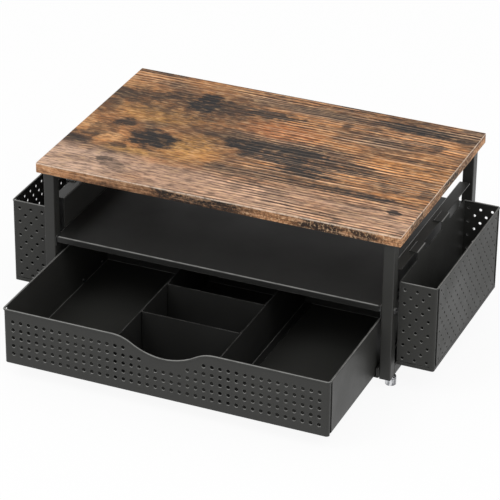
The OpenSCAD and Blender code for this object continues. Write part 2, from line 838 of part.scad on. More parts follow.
// Plan of a basket with its two outer corners rounded, and all its sides set in by the same amount
module basket_plan(inset) {
    r = max(0, basket_corner - inset);
    x0 = basket_in + inset;
    y0 = basket_y + inset;
    w = basket_w - 2 * inset;
    l = basket_l - 2 * inset;
    translate([x0, y0]) square([w - r, l]);
    if (r > 0) {
        translate([x0, y0 + r]) square([w, l - 2 * r]);
        for (y = [y0 + r, y0 + l - r]) translate([x0 + w - r, y]) circle(r);
    }
}

// Upright band of one sheet's thickness along a basket's plan
module basket_band(inset, height) {
    linear_extrude(height) difference() {
        basket_plan(inset);
        basket_plan(inset + sheet);
    }
}

// Floor pan of a basket: a flat bottom, an upturned edge under the panels and a lip inside them
module basket_floor(side) {
    color(steel) on_side(side) translate([0, 0, basket_z]) {
        linear_extrude(sheet) basket_plan(0);
        basket_band(0, basket_skirt);
        basket_band(sheet, basket_skirt + basket_lip);
    }
}

desktop_board();
leg(left, front);  // left_front_leg
leg(left, rear);  // left_rear_leg
leg(right, front);  // right_front_leg
leg(right, rear);  // right_rear_leg
bottom_rail(left);  // left_bottom_rail
bottom_rail(right);  // right_bottom_rail
top_plate(left, front);  // left_front_top_plate
top_plate(left, rear);  // left_rear_top_plate
top_plate(right, front);  // right_front_top_plate
top_plate(right, rear);  // right_rear_top_plate
board_screws();
leg_end_plugs();
foot_inserts();
foot(left, front);  // left_front_foot
foot(left, rear);  // left_rear_foot
foot(right, front);  // right_front_foot
foot(right, rear);  // right_rear_foot
shelf_tray();
shelf_screws();
shelf_nuts();
hanger(left);  // left_hanger
hanger(right);  // right_hanger
hanger_rivets();
runner(left);  // left_runner
runner(right);  // right_runner
drawer_tray();
drawer_front();
lengthwise_divider(left);  // drawer_left_divider
lengthwise_divider(right);  // drawer_right_divider
cross_divider(cross_1);  // drawer_front_divider
cross_divider(cross_2);  // drawer_rear_divider
glide(left);  // drawer_left_glide
glide(right);  // drawer_right_glide
glide_rivets();
basket_panel(left, front);  // left_basket_front
basket_outer(left);  // left_basket_outer
basket_panel(left, rear);  // left_basket_back
basket_hook_plate(left);  // left_basket_hook_plate
basket_floor(left);  // left_basket_floor
basket_panel(right, front);  // right_basket_front
basket_outer(right);  // right_basket_outer
basket_panel(right, rear);  // right_basket_back
basket_hook_plate(right);  // right_basket_hook_plate
basket_floor(right);  // right_basket_floor
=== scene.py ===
# %% [markdown]
# # A monitor stand with a drawer
# The stand is a wood-look board on two black steel side frames. Under the board are a folded shelf, a
# perforated drawer and, at the sides, two perforated baskets. The sheet metal comes from the CAD model with
# its folds, beads and holes, so this lesson is about the finishes, the board, the light and the camera.

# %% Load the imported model
import json
import math

import bmesh
import bpy
from mathutils import Matrix, Vector


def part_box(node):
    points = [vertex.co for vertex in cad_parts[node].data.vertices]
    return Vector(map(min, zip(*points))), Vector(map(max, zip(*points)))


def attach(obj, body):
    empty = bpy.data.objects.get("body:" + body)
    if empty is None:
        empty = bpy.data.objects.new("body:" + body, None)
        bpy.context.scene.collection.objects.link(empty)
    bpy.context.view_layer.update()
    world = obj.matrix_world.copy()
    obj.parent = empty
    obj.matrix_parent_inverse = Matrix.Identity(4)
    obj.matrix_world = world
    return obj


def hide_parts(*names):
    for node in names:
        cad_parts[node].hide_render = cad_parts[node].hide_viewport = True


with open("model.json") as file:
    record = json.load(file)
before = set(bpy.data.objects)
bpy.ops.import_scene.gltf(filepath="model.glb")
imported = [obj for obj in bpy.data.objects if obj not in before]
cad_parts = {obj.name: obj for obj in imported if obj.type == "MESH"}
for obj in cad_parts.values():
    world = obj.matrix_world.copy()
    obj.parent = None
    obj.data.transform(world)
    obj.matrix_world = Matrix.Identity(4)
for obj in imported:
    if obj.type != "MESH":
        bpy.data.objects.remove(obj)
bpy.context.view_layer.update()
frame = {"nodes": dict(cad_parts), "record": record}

nodes = frame["nodes"]
scene = bpy.context.scene

# %% [markdown]
# ## Camera
# A product photo is taken with a long lens from well above the desk, so that upright edges stay almost
# upright. The camera's place could be found by moving it by eye. Here it was solved from the corners and the
# outline of the stand, as a direction round the object, a height angle, a slight roll and a place.

# %% Camera
CAMERA_AROUND = math.radians(22.893)
CAMERA_ABOVE = math.radians(28.363)
CAMERA_ROLL = math.radians(0.625)
CAMERA_PLACE = Vector((1.0267, -2.4666, 1.5051))
CAMERA_LENS = 196.22
FILM_WIDTH = 36.0


def camera_turn(around, above, roll):
    """The camera's axes as a matrix: X to the right, Y up, Z back towards the viewer."""
    right = Vector((math.cos(around), math.sin(around), 0))
    level = math.cos(above)
    back = Vector((math.sin(around) * level, -math.cos(around) * level, math.sin(above)))
    up = back.cross(right)
    rolled_right = math.cos(roll) * right + math.sin(roll) * up
    rolled_up = math.cos(roll) * up - math.sin(roll) * right
    return Matrix((rolled_right, rolled_up, back)).transposed()


def show(name, data):
    """An object for a mesh, lamp or camera, placed in the scene."""
    made = bpy.data.objects.new(name, data)
    scene.collection.objects.link(made)
    return made


camera = show("camera", bpy.data.cameras.new("camera"))
camera.data.lens = CAMERA_LENS
camera.data.sensor_width = FILM_WIDTH
turn = camera_turn(CAMERA_AROUND, CAMERA_ABOVE, CAMERA_ROLL)
camera.matrix_world = Matrix.Translation(CAMERA_PLACE) @ turn.to_4x4()
scene.camera = camera
scene.view_settings.view_transform = "Standard"
print("camera at", tuple(round(v, 3) for v in camera.location))

# %% [markdown]
# ## Node helpers
# Materials here are made of nodes only. Writing each node with its links takes many lines, so a few helpers
# add a node, set its values or link its inputs, and return what it puts out.

# %% Helpers that add a node


def put(tree, kind, inputs=None, **settings):
    """Adds a node, sets its properties, and fills its inputs with values or links."""
    made = tree.nodes.new(kind)
    for name, value in settings.items():
        setattr(made, name, value)
    for name, value in (inputs or {}).items():
        if isinstance(value, bpy.types.NodeSocket):
            tree.links.new(value, made.inputs[name])
        else:
            made.inputs[name].default_value = value
    return made


def maths(tree, operation, a, b=0.0, clamp=False):
    """One step of arithmetic with two values."""
    return put(tree, "ShaderNodeMath", {0: a, 1: b}, operation=operation, use_clamp=clamp).outputs[0]


def times(tree, a, b):
    """The product, which also laps one mask over another."""
    return maths(tree, "MULTIPLY", a, b)


def greater(tree, a, b):
    """The larger value, which joins two masks."""
    return maths(tree, "MAXIMUM", a, b)


def swing(tree, value, reach):
    """Turns noise, which lies round one half, into a push of plus or minus half the reach."""
    return times(tree, maths(tree, "SUBTRACT", value, 0.5), reach)


def vectors(tree, operation, a, b):
    """A step of arithmetic with two vectors, as a node with its outputs."""
    return put(tree, "ShaderNodeVectorMath", {0: a, 1: b}, operation=operation)


def mix(tree, factor, a, b, blend="MIX"):
    """Colour a where the factor is 0, colour b where it is 1."""
    made = put(tree, "ShaderNodeMix", {0: factor, 6: a, 7: b}, data_type="RGBA", blend_type=blend)
    return made.outputs[2]


def between(tree, value, low, high, out_low=0.0, out_high=1.0):
    """Maps low to high onto out_low to out_high with soft ends."""
    return put(tree, "ShaderNodeMapRange", {0: value, 1: low, 2: high, 3: out_low, 4: out_high},
               interpolation_type="SMOOTHSTEP").outputs[0]


def noise(tree, vector, stretch, detail=3.0, rough=0.55):
    """Noise whose grains are 1/stretch metres long on each axis."""
    scaled = vectors(tree, "MULTIPLY", vector, stretch).outputs[0]
    inputs = {"Vector": scaled, "Scale": 1.0, "Detail": detail, "Roughness": rough}
    return put(tree, "ShaderNodeTexNoise", inputs).outputs[0]


def ramp(tree, value, stops):
    """A colour ramp from (position, colour) stops."""
    made = put(tree, "ShaderNodeValToRGB", {0: value})
    elements = made.color_ramp.elements
    while len(elements) < len(stops):
        elements.new(0.5)
    for element, (position, colour) in zip(elements, stops):
        element.position = position
        element.color = colour
    return made.outputs[0]


print("node helpers ready")

# %% [markdown]
# ## Material helpers
# Colours are chosen by their screen values, but a shader adds up light, which is linear. One helper bends a
# screen value back by the sRGB curve. The others start a material or a shared node group, and link values to
# the Principled shader.

# %% Helpers for materials and groups
FLOAT, VECTOR = "NodeSocketFloat", "NodeSocketVector"


def paint(red, green, blue):
    """A colour from screen values 0 to 255, as the linear values that shaders use."""
    def linear(value):
        share = value / 255
        return share / 12.92 if value < 10 else ((share + 0.055) / 1.055) ** 2.4
    return linear(red), linear(green), linear(blue), 1.0


def material(name):
    """A new material: itself, its tree, its Principled shader and Object coordinates."""
    made = bpy.data.materials.new(name)
    made.use_nodes = True
    tree = made.node_tree
    shader = tree.nodes["Principled BSDF"]
    return made, tree, shader, put(tree, "ShaderNodeTexCoord").outputs["Object"]


def feed(tree, shader, colour, roughness):
    """Links a colour and a roughness that change over the surface."""
    tree.links.new(colour, shader.inputs["Base Color"])
    tree.links.new(roughness, shader.inputs["Roughness"])


def emboss(tree, shader, height, strength, depth):
    """Links a height to the shader's normal by a bump."""
    inputs = {"Strength": strength, "Distance": depth, "Height": height}
    tree.links.new(put(tree, "ShaderNodeBump", inputs).outputs[0], shader.inputs["Normal"])


def group(name, inputs, outputs):
    """An empty shader node group with named sockets: the group, its input node and its output node."""
    tree = bpy.data.node_groups.new(name, "ShaderNodeTree")
    for label, kind, value in inputs:
        tree.interface.new_socket(name=label, in_out="INPUT", socket_type=kind).default_value = value
    for label in outputs:
        tree.interface.new_socket(name=label, in_out="OUTPUT", socket_type=FLOAT)
    return tree, put(tree, "NodeGroupInput").outputs, put(tree, "NodeGroupOutput").inputs


def use(tree, shared, inputs):
    """Places a node group in a material with its own values."""
    return put(tree, "ShaderNodeGroup", inputs, node_tree=shared).outputs


print("material helpers ready")

# %% [markdown]
# ## Coat texture
# Powder coat is sprayed as dry powder and baked, so it is never quite flat: it has a fine orange-peel skin.
# Moulded plastic has a similar fine texture. A photo of a skin would need a file, so a shared node group
# gives the height of that skin and a slow patchiness from two noises.

# %% Coat texture group
coat_skin, given, result = group(
    "coat_skin",
    [("Vector", VECTOR, (0, 0, 0)), ("Grain", FLOAT, 900.0), ("Patch", FLOAT, 14.0)],
    ["Height", "Patchy"])
for label, size, detail, rough in (("Height", "Grain", 2.0, 0.5), ("Patchy", "Patch", 4.0, 0.6)):
    inputs = {"Vector": given["Vector"], "Scale": given[size], "Detail": detail, "Roughness": rough}
    coat_skin.links.new(put(coat_skin, "ShaderNodeTexNoise", inputs).outputs[0], result[label])
print("group", coat_skin.name)

# %% [markdown]
# ## Edge wear and highlight
# Paint is thinner on sharp edges, and hands and neighbouring parts polish it there. Edges also catch the
# light as thin lines, so a painted highlight goes onto them together with the wear, as one lighter colour.
# The Bevel node bends the normal near an edge. Where the bent normal leaves the true one, there is an edge,
# and noise breaks that line up. It needs no painting by hand and follows every edge of the CAD meshes.

# %% Edge wear and highlight group
BREAK_UP_DETAIL = 3.0
EDGE_SAMPLES = 4
EDGE_START, EDGE_FULL = 0.995, 0.90
EDGE_BROKEN = (0.3, 0.65)
edge_wear_and_highlight, given, result = group(
    "edge_wear_and_highlight",
    [("Vector", VECTOR, (0, 0, 0)), ("Width", FLOAT, 0.0006), ("Break up", FLOAT, 120.0)],
    ["Mask"])


def break_up_noise(tree, given):
    """The noise that breaks up the lines of wear and of painted highlight."""
    inputs = {"Vector": given["Vector"], "Scale": given["Break up"], "Detail": BREAK_UP_DETAIL}
    return put(tree, "ShaderNodeTexNoise", inputs).outputs[0]


bent = put(edge_wear_and_highlight, "ShaderNodeBevel", {"Radius": given["Width"]}, samples=EDGE_SAMPLES).outputs[0]
true = put(edge_wear_and_highlight, "ShaderNodeNewGeometry").outputs["Normal"]
same = vectors(edge_wear_and_highlight, "DOT_PRODUCT", bent, true).outputs["Value"]
near_edge = between(edge_wear_and_highlight, same, EDGE_START, EDGE_FULL)
broken = between(edge_wear_and_highlight, break_up_noise(edge_wear_and_highlight, given), *EDGE_BROKEN)
edge_wear_and_highlight.links.new(times(edge_wear_and_highlight, near_edge, broken), result["Mask"])
print("group", edge_wear_and_highlight.name)

# %% [markdown]
# ## Rim highlight
# Rolled rims and the bevels under the holes catch the light from above. This group gives the mask of a
# painted
# highlight there: a lighter colour where that light falls. Painting every rim by hand would take long. The
# direction of the surface finds them all: slopes that look up and a little to the left, towards the light,
# are rims and bevels, and level faces are left out.

# %% Rim highlight group
LIGHT_SIDE = (-0.28, 0.0, 0.96)
SLOPE_START, SLOPE_FULL = 0.32, 0.72
LEVEL_NONE, LEVEL_FULL = 0.995, 0.97
RIM_BROKEN = (0.2, 0.6, 0.4, 1.0)
painted_rim_highlight, given, result = group(
    "painted_rim_highlight", [("Vector", VECTOR, (0, 0, 0)), ("Break up", FLOAT, 60.0)], ["Mask"])
facing = put(painted_rim_highlight, "ShaderNodeNewGeometry").outputs["Normal"]
upward = vectors(painted_rim_highlight, "DOT_PRODUCT", facing, LIGHT_SIDE).outputs["Value"]
level = put(painted_rim_highlight, "ShaderNodeSeparateXYZ", {0: facing}).outputs["Z"]
slope = times(painted_rim_highlight, between(painted_rim_highlight, upward, SLOPE_START, SLOPE_FULL),
              between(painted_rim_highlight, level, LEVEL_NONE, LEVEL_FULL))
broken = between(painted_rim_highlight, break_up_noise(painted_rim_highlight, given), *RIM_BROKEN)
painted_rim_highlight.links.new(times(painted_rim_highlight, slope, broken), result["Mask"])
print("group", painted_rim_highlight.name)

# %% [markdown]
# ## Black coats
# Frames, drawer and baskets are black powder-coated steel. A black base alone would look like a hole: part of
# what the eye sees is the white room in its satin skin. So the base is a dark grey, the roughness varies a
# little, and the skin's bump breaks up the reflections. The baskets are a little paler and duller. The shelf
# and the dividers lie inside, in shade, and their darker coat is painted shade. Screws, rivets and plastic
# have values of their own.

# %% Black coats
EDGE_SHARE, EDGE_WEAR_AND_HIGHLIGHT_COLOUR = 0.55, paint(120, 120, 118)
RIM_HIGHLIGHT_SHARE, RIM_HIGHLIGHT_COLOUR = 0.6, paint(160, 160, 157)
PATCHY_RANGE, SMOOTHER, ROUGHER = (0.3, 0.7), 0.05, 0.07
SKIN_DEPTH = 0.0002
# Base colour, colour of the lighter patches, roughness, grain, bump and gloss
COATS = {
    "black_steel": (paint(43, 43, 41), paint(52, 52, 50), 0.42, 1100.0, 0.16, 0.31),
    "basket_steel": (paint(47, 47, 45), paint(56, 56, 54), 0.46, 1100.0, 0.16, 0.20),
    # A darker coat for the shelf and the dividers: painted shade
    "painted_shade_steel": (paint(29, 29, 28), paint(37, 37, 36), 0.46, 1100.0, 0.16, 0.22),
    "black_screw": (paint(17, 17, 18), paint(30, 30, 31), 0.34, 1800.0, 0.08, 0.45),
    "black_nylon": (paint(12, 12, 12), paint(20, 20, 20), 0.55, 1500.0, 0.25, 0.35),
}


def coated(name, base, lighter, roughness, grain, bump, gloss):
    """A coated finish: dark base, slow patches, edges lighter by wear and painted highlight, painted rim
    highlight, orange-peel skin.
    """
    made, tree, shader, place = material(name)
    shader.inputs["Specular IOR Level"].default_value = gloss
    skin = use(tree, coat_skin, {"Vector": place, "Grain": grain})
    colour = mix(tree, skin["Patchy"], base, lighter)
    # Lighter edges: wear and a painted highlight together
    worn_and_highlit = use(tree, edge_wear_and_highlight, {"Vector": place})["Mask"]
    colour = mix(tree, times(tree, worn_and_highlit, EDGE_SHARE), colour, EDGE_WEAR_AND_HIGHLIGHT_COLOUR)
    # Painted highlight on rims and on the bevels under the holes
    rim_highlight_mask = use(tree, painted_rim_highlight, {"Vector": place})["Mask"]
    colour = mix(tree, times(tree, rim_highlight_mask, RIM_HIGHLIGHT_SHARE), colour, RIM_HIGHLIGHT_COLOUR)
    varied = between(tree, skin["Patchy"], *PATCHY_RANGE, roughness - SMOOTHER, roughness + ROUGHER)
    feed(tree, shader, colour, varied)
    emboss(tree, shader, skin["Height"], bump, SKIN_DEPTH)
    return made


coats = {name: coated(name, *values) for name, values in COATS.items()}
print("coats", *coats)

# %% [markdown]
# ## Chrome
# The feet are turned and chromed, with fine rings left by the lathe. Rings could be cut into the mesh, but at
# this size a wave texture as a bump is enough. The colour of a metal is the colour of its reflection. The
# room here is plain white, so a noise paints dark and light streaks into the colour as a painted reflection
# of darker surroundings.

# %% Chrome
REFLECTION_STREAKS = ((300.0, 300.0, 90.0), 4.0, 0.65)
CHROME_STOPS = ((0.36, paint(70, 71, 74)), (0.50, paint(150, 151, 154)), (0.64, paint(228, 229, 231)))
CHROME_ROUGH = (0.3, 0.75, 0.09, 0.24)
RINGS = {"Scale": 700.0, "Distortion": 0.6}
RING_BUMP, RING_DEPTH = 0.08, 0.0001
foot_chrome, tree, shader, place = material("foot_chrome")
shader.inputs["Metallic"].default_value = 1.0
# Painted reflection: dark and light streaks in the chrome's colour
painted_reflections = noise(tree, place, *REFLECTION_STREAKS)
feed(tree, shader, ramp(tree, painted_reflections, CHROME_STOPS), between(tree, painted_reflections, *CHROME_ROUGH))
rings = put(tree, "ShaderNodeTexWave", {"Vector": place, **RINGS},
            wave_type="BANDS", bands_direction="Z").outputs[1]
emboss(tree, shader, rings, RING_BUMP, RING_DEPTH)
print("metal", foot_chrome.name)

# %% [markdown]
# ## Zinc
# Nuts, inserts and the wood screws under the board are zinc plated, which is duller than chrome and slightly
# cloudy. They are small and mostly hidden, so one fine noise for the colour and the roughness is enough.

# %% Zinc
CLOUDY = ((420.0, 420.0, 420.0), 4.0)
ZINC_DARK, ZINC_LIGHT = paint(150, 152, 156), paint(206, 207, 206)
ZINC_ROUGH = (0.25, 0.75, 0.28, 0.5)
zinc_plate, tree, shader, place = material("zinc_plate")
shader.inputs["Metallic"].default_value = 1.0
cloudy = noise(tree, place, *CLOUDY)
feed(tree, shader, mix(tree, cloudy, ZINC_DARK, ZINC_LIGHT), between(tree, cloudy, *ZINC_ROUGH))
print("metal", zinc_plate.name)

# %% [markdown]
# ## Dress the CAD nodes
# Each CAD node came in with a plain material named after its slot. New pieces could replace the nodes, but
# their shapes are right already. So each node's material slot takes the finish made above, some by a word in
# the node's name, and its mesh is left alone.

# %% Dress the CAD nodes
FINISH = {"powder_coat": coats["black_steel"], "black_screw": coats["black_screw"],
          "nylon": coats["black_nylon"], "foot_chrome": foot_chrome, "zinc": zinc_plate}
# The shelf and the dividers take the darker coat, which is painted shade
OWN_COAT = {"basket": coats["basket_steel"], "divider": coats["painted_shade_steel"], "shelf": coats["painted_shade_steel"]}
dressed = 0
for part in frame["record"]["subparts"]:
    finish = FINISH.get(part["material_slot"])
    if part["material_slot"] == "powder_coat":
        for word, coat in OWN_COAT.items():
            if word in part["node"]:
                finish = coat
    if finish:
        for slot in nodes[part["node"]].material_slots:
            slot.material = finish
        dressed += 1
print("dressed", dressed, "nodes")

# %% [markdown]
# ## The board's grain
# The board is a panel with a printed and embossed laminate: old, sawn, partly charred wood. Its grain runs
# along the board. A noise that is stretched many times along the grain gives streaks, and three widths of
# streaks over each other give fine fibres, ridges and broad bands. The ridges' slope is the difference of two
# places side by side. The marks of a saw come at an even distance, so these lines are a wavy wave texture.

# %% Grain group
SWAY = ((9.0, 16.0, 16.0), 2.0)
RIDGE = ((5.0, 340.0, 40.0), 0.5)
STREAKS = {"Fibre": ((16.0, 560.0, 80.0), 4.0), "Ridge": RIDGE, "Band": ((3.0, 26.0, 10.0), 3.0)}
SLOPE_STEP = (0.0, 0.0012, 0.0)
SAW_PERIOD, SAW_STRETCH = 0.0058, (0.15, 1.0, 0.3)
# A wave texture of scale 1 repeats every tau / 20 metres
SAW_WAVE = {"Scale": math.tau / 20 / SAW_PERIOD, "Distortion": 2.4, "Detail": 2.0}
grain, given, result = group(
    "grain",
    [("Vector", VECTOR, (0, 0, 0)), ("Wander", FLOAT, 0.007)],
    ["Fibre", "Ridge", "Slope", "Band", "Line"])
sideways = swing(grain, noise(grain, given["Vector"], *SWAY), given["Wander"])
shift = put(grain, "ShaderNodeCombineXYZ", {"Y": sideways}).outputs[0]
along = vectors(grain, "ADD", given["Vector"], shift).outputs[0]
for label, streak in STREAKS.items():
    grain.links.new(noise(grain, along, *streak), result[label])
beside = vectors(grain, "ADD", along, SLOPE_STEP).outputs[0]
slope = maths(grain, "SUBTRACT", noise(grain, along, *RIDGE), noise(grain, beside, *RIDGE))
grain.links.new(slope, result["Slope"])
drawn_out = vectors(grain, "MULTIPLY", along, SAW_STRETCH).outputs[0]
saw_line = put(grain, "ShaderNodeTexWave", {"Vector": drawn_out, **SAW_WAVE},
               wave_type="BANDS", bands_direction="Y").outputs[1]
grain.links.new(saw_line, result["Line"])
print("group", grain.name)

# %% [markdown]
# ## Patches
# Dark smudges lie where they lie: a random texture would never put them in the right places. A patch is an
# ellipse with a centre, two half lengths and a turn. Noise, given as its fray, pushes its rim in and out, so
# that it runs out along the fibres.

# %% Patch group
patch_shape, given, result = group(
    "patch_shape",
    [("Vector", VECTOR, (0, 0, 0)), ("Centre", VECTOR, (0, 0, 0)), ("Half size", VECTOR, (0.03, 0.02, 1.0)),
     ("Turn", FLOAT, 0.0), ("Fray", FLOAT, 0.5), ("Soft", FLOAT, 0.4)],
    ["Mask"])
offset = vectors(patch_shape, "SUBTRACT", given["Vector"], given["Centre"]).outputs[0]
turned = put(patch_shape, "ShaderNodeVectorRotate", {"Vector": offset, "Angle": given["Turn"]},
             rotation_type="Z_AXIS").outputs[0]
unit = vectors(patch_shape, "DIVIDE", turned, given["Half size"]).outputs[0]
reach = put(patch_shape, "ShaderNodeVectorMath", {0: unit}, operation="LENGTH").outputs["Value"]
inside = maths(patch_shape, "ADD", reach, given["Fray"])
rim = maths(patch_shape, "DIVIDE", maths(patch_shape, "SUBTRACT", 1.0, inside), given["Soft"])
patch_shape.links.new(between(patch_shape, rim, -0.5, 0.5), result["Mask"])
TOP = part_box("desktop_board")[1].z


def zone(tree, place, x, y, half_x, half_y, fray=0.0, soft=1.2, degrees=0.0):
    """The mask of one patch on the board's top."""
    inputs = {"Vector": place, "Centre": (x, y, TOP), "Half size": (half_x, half_y, 1.0),
              "Turn": math.radians(-degrees), "Fray": fray, "Soft": soft}
    return use(tree, patch_shape, inputs)["Mask"]


def deepest(tree, masks):
    """The strongest of several masks, each with its share."""
    strongest = 0.0
    for mask, share in masks:
        strongest = greater(tree, times(tree, mask, share), strongest)
    return strongest


print("group", patch_shape.name, "board top at", round(TOP, 4))

# %% [markdown]
# ## Laminate: tones
# The print runs from dark brown by chestnut to a golden orange. One ramp over bands and clouds gives that
# range, but not the places of the tones. So broad soft zones of gold, brown and russet lie over it, and the
# front strip is painted paler and pinkish as a sheen.

# %% Laminate: tones
# A noise is its stretch, detail and roughness. A range is two values, and the shares that they map to.
CLOUD = ((12.0, 19.0, 1.0), 5.0, 0.62)
FINE = ((95.0, 190.0, 1.0), 4.0, 0.7)
BAND_SHARE, CLOUD_SHARE = 0.45, 0.55
WOOD_STOPS = ((0.38, paint(66, 49, 38)), (0.45, paint(108, 81, 60)), (0.51, paint(158, 108, 67)),
              (0.57, paint(202, 138, 83)), (0.66, paint(226, 172, 118)))
# Golden zones: centre x and y, half lengths
GOLDEN = ((-0.140, 0.030, 0.046, 0.020), (0.176, 0.000, 0.064, 0.050), (-0.068, -0.036, 0.032, 0.030),
          (0.012, 0.066, 0.030, 0.014), (-0.128, -0.066, 0.030, 0.008))
GOLD_LEFT, GOLD_RIGHT, GOLD_TURNS = paint(206, 152, 82), paint(206, 138, 74), (-0.09, 0.0)
GOLD_BROKEN = (0.35, 0.6, 0.25, 0.9)
# Dark brown zones: centre x and y, half lengths, share
BROWN = ((-0.115, 0.064, 0.118, 0.038, 0.95), (-0.060, 0.016, 0.050, 0.022, 0.50),
         (-0.196, 0.020, 0.020, 0.040, 0.45), (0.000, 0.116, 0.150, 0.020, 0.60),
         (0.020, -0.010, 0.070, 0.024, 0.60), (0.030, -0.060, 0.070, 0.016, 0.45))
BROWN_COLOUR, BROWN_BROKEN = paint(88, 63, 44), (0.62, 0.38, 0.5, 1.0)
RUSSET = (0.006, 0.045, 0.040, 0.020)
RUSSET_COLOUR, RUSSET_BROKEN = paint(196, 118, 64), (0.3, 0.6, 0.4, 0.9)
# A paler pinkish front strip: painted sheen
SHEEN_FRONT, SHEEN_BROKEN = (-0.058, -0.100), (0.25, 0.6, 0.35, 0.95)
SHEEN_NOISE, SHEEN_TURNS = (11.0, 34.0, 1.0), (-0.16, -0.08)
SHEEN_LEFT, SHEEN_RIGHT = paint(216, 180, 156), paint(204, 164, 138)

laminate, tree, shader, place = material("laminate")
fibres = use(tree, grain, {"Vector": place})
axes = put(tree, "ShaderNodeSeparateXYZ", {0: place}).outputs
rightwards, backwards = axes["X"], axes["Y"]
cloud = noise(tree, place, *CLOUD)
fine = noise(tree, place, *FINE)
tone = maths(tree, "ADD", times(tree, fibres["Band"], BAND_SHARE), times(tree, cloud, CLOUD_SHARE))
colour = ramp(tree, tone, WOOD_STOPS)
golden = deepest(tree, [(zone(tree, place, *patch), 1.0) for patch in GOLDEN])
gold = mix(tree, between(tree, rightwards, *GOLD_TURNS), GOLD_LEFT, GOLD_RIGHT)
colour = mix(tree, times(tree, golden, between(tree, fine, *GOLD_BROKEN)), colour, gold)
brown = deepest(tree, [(zone(tree, place, *patch), share) for *patch, share in BROWN])
colour = mix(tree, times(tree, brown, between(tree, fine, *BROWN_BROKEN)), colour, BROWN_COLOUR)
russet = times(tree, zone(tree, place, *RUSSET), between(tree, fine, *RUSSET_BROKEN))
colour = mix(tree, russet, colour, RUSSET_COLOUR)
# Painted sheen along the front strip
sheen_mask = times(tree, between(tree, backwards, *SHEEN_FRONT),
             between(tree, noise(tree, place, SHEEN_NOISE), *SHEEN_BROKEN))
sheen_colour = mix(tree, between(tree, rightwards, *SHEEN_TURNS), SHEEN_LEFT, SHEEN_RIGHT)
colour = mix(tree, sheen_mask, colour, sheen_colour)
print("zones", len(GOLDEN) + len(BROWN) + 1)

# %% [markdown]
# ## Laminate: lines and strokes
# On the right half and along the back, the print shows ridges and saw marks, and on the left half they fade.
# Bump alone is too weak for that at this size, so the shade in the grooves and saw lines is painted into the
# colour as dark lines. Short strokes, fibres and specks lie over all of it.

# %% Laminate: lines and strokes
RIDGED_RIGHT, RIDGED_BACK = (-0.09, 0.03, 0.08, 1.0), (0.085, 0.115, 0.0, 0.9)
FADE, FADING = ((14.0, 60.0, 1.0), 3.0), (0.38, 0.58, 0.35, 1.0)
GROOVE, GROOVE_SHARE, GROOVE_SHADE_COLOUR = (0.50, 0.38), 0.5, paint(54, 38, 31)
SAW_FADE, SAW_FADING = ((11.0, 40.0, 1.0), 2.0), (0.36, 0.58, 0.15, 1.0)
SAW_DARK, SAW_SHARE, SAW_LINE_SHADE_COLOUR = (0.55, 0.15), 0.80, paint(48, 33, 27)
STROKE = ((80.0, 250.0, 1.0), 3.0, 0.6)
STROKE_DARK, STROKE_COLOUR = (0.50, 0.38, 0.0, 0.3), paint(50, 34, 25)
FIBRE_DARK, FIBRE_COLOUR = (0.55, 0.32, 0.0, 0.35), paint(60, 43, 34)
SPECK = ((85.0, 390.0, 1.0), 2.0, 0.6)
SPECK_DARK, SPECK_DARK_COLOUR = (0.52, 0.36, 0.0, 0.5), paint(54, 38, 30)
SPECK_LIGHT, SPECK_LIGHT_COLOUR = (0.52, 0.66, 0.0, 0.35), paint(222, 182, 136)

ridged = greater(tree, between(tree, rightwards, *RIDGED_RIGHT), between(tree, backwards, *RIDGED_BACK))
faded = times(tree, ridged, between(tree, noise(tree, place, *FADE), *FADING))
# Painted shade in the grooves of the ridges
groove_shade = times(tree, between(tree, fibres["Ridge"], *GROOVE), faded)
colour = mix(tree, times(tree, groove_shade, GROOVE_SHARE), colour, GROOVE_SHADE_COLOUR)
# Painted shade in the saw lines
sawn = times(tree, ridged, between(tree, noise(tree, place, *SAW_FADE), *SAW_FADING))
saw_line_shade = times(tree, between(tree, fibres["Line"], *SAW_DARK), times(tree, sawn, SAW_SHARE))
colour = mix(tree, saw_line_shade, colour, SAW_LINE_SHADE_COLOUR)
speck = noise(tree, place, *SPECK)
for value, marked, mark_colour in (
        (noise(tree, place, *STROKE), STROKE_DARK, STROKE_COLOUR),
        (fibres["Fibre"], FIBRE_DARK, FIBRE_COLOUR),
        (speck, SPECK_DARK, SPECK_DARK_COLOUR),
        (speck, SPECK_LIGHT, SPECK_LIGHT_COLOUR)):
    colour = mix(tree, between(tree, value, *marked), colour, mark_colour)
print("laminate nodes so far", len(tree.nodes))

# %% [markdown]
# ## Laminate: charred patches
# Charring is the darkest part of the print and lies over the strokes. The patches are placed one by one, with
# random smudges between them. Clouds fray them everywhere, on the right the grain does too, and the fine
# noise lets some wood show through.

